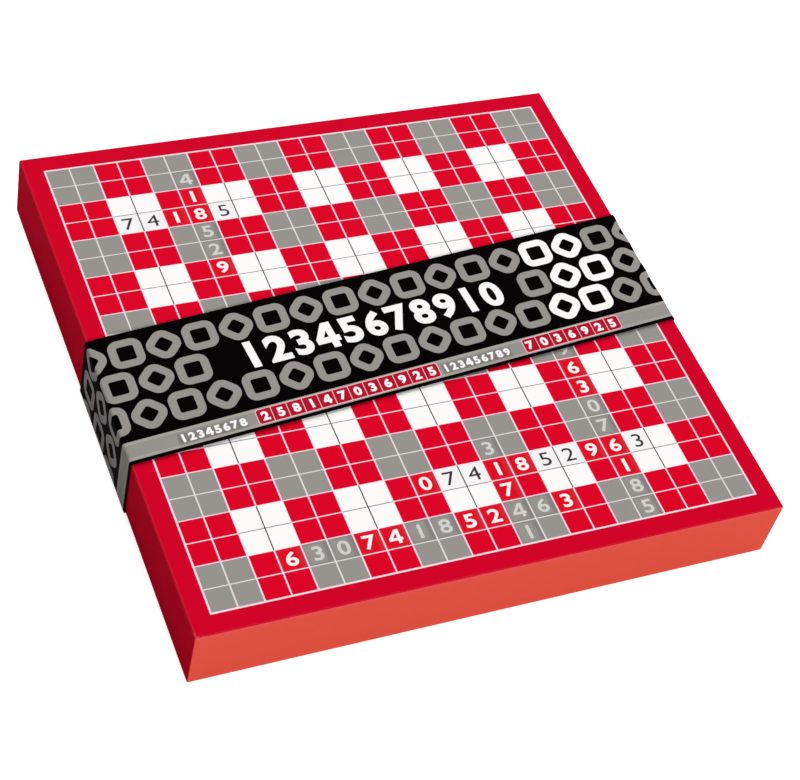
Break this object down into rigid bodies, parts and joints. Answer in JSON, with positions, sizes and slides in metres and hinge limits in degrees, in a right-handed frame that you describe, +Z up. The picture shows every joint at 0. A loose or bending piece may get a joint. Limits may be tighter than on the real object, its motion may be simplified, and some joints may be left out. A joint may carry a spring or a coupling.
{
  "type": "boxed card and tile game",
  "caption": "Square rigid game box with a full-depth lift-off lid, a card band laid askew over the lid, and an insert with cards, tiles and racks inside.",
  "frame": {"origin": "centre of the underside, where the closed box rests on the table", "axes": "+Z up; +X to the right along the front wall; +Y towards the back"},
  "size_m": [0.2976, 0.296, 0.0379],
  "materials": {
    "printed_paper": "satin printed wrap: red with red, grey and white squares",
    "red_paper": "satin red wrap",
    "lining_paper": "uncoated white",
    "bottom_paper": "satin red sheet",
    "greyboard": "raw recycled board",
    "kraft_tape": "gummed kraft",
    "band_card": "coated card printed black and grey",
    "playing_board": "board laminated with linen-embossed paper",
    "hinge_cloth": "black book cloth",
    "leaflet_paper": "uncoated folded sheet",
    "insert_plastic": "vacuum-formed, satin",
    "rack_wood": "lacquered beech",
    "tile_red": "moulded, satin",
    "tile_grey": "moulded, satin",
    "tile_white": "moulded, satin",
    "card_stock": "coated card edges and printed backs"
  },
  "bodies": {
    "tray": {"base_board": "greyboard", "base_corner_stays": "kraft_tape", "base_wrap": "red_paper", "base_bottom_sheet": "bottom_paper", "base_lining": "lining_paper", "board_leaf_1": "playing_board", "board_leaf_2": "playing_board", "board_leaf_3": "playing_board", "board_leaf_4": "playing_board", "board_tape_lower": "hinge_cloth", "board_tape_upper": "hinge_cloth", "board_tape_spine": "hinge_cloth", "rules_leaflet": "leaflet_paper", "insert_tray": "insert_plastic", "rack_front_left": "rack_wood", "rack_front_right": "rack_wood", "rack_back_left": "rack_wood", "rack_back_right": "rack_wood", "tiles_red": "tile_red", "tiles_grey": "tile_grey", "tiles_white": "tile_white", "card_deck_left": "card_stock", "card_deck_right": "card_stock"},
    "lid": {"lid_board": "greyboard", "lid_corner_stays": "kraft_tape", "lid_wrap": "printed_paper", "lid_lining": "lining_paper"},
    "band": {"belly_band": "band_card"}
  },
  "joints": [
    {"name": "lid_lift", "type": "slide", "parent": "tray", "child": "lid", "axis": [0, 0, 1], "range_m": [0, 0.16]},
    {"name": "band_slide", "type": "slide", "parent": "lid", "child": "band", "axis": [0, 1, 0], "range_m": [-0.0923, 0.0949]}
  ]
}
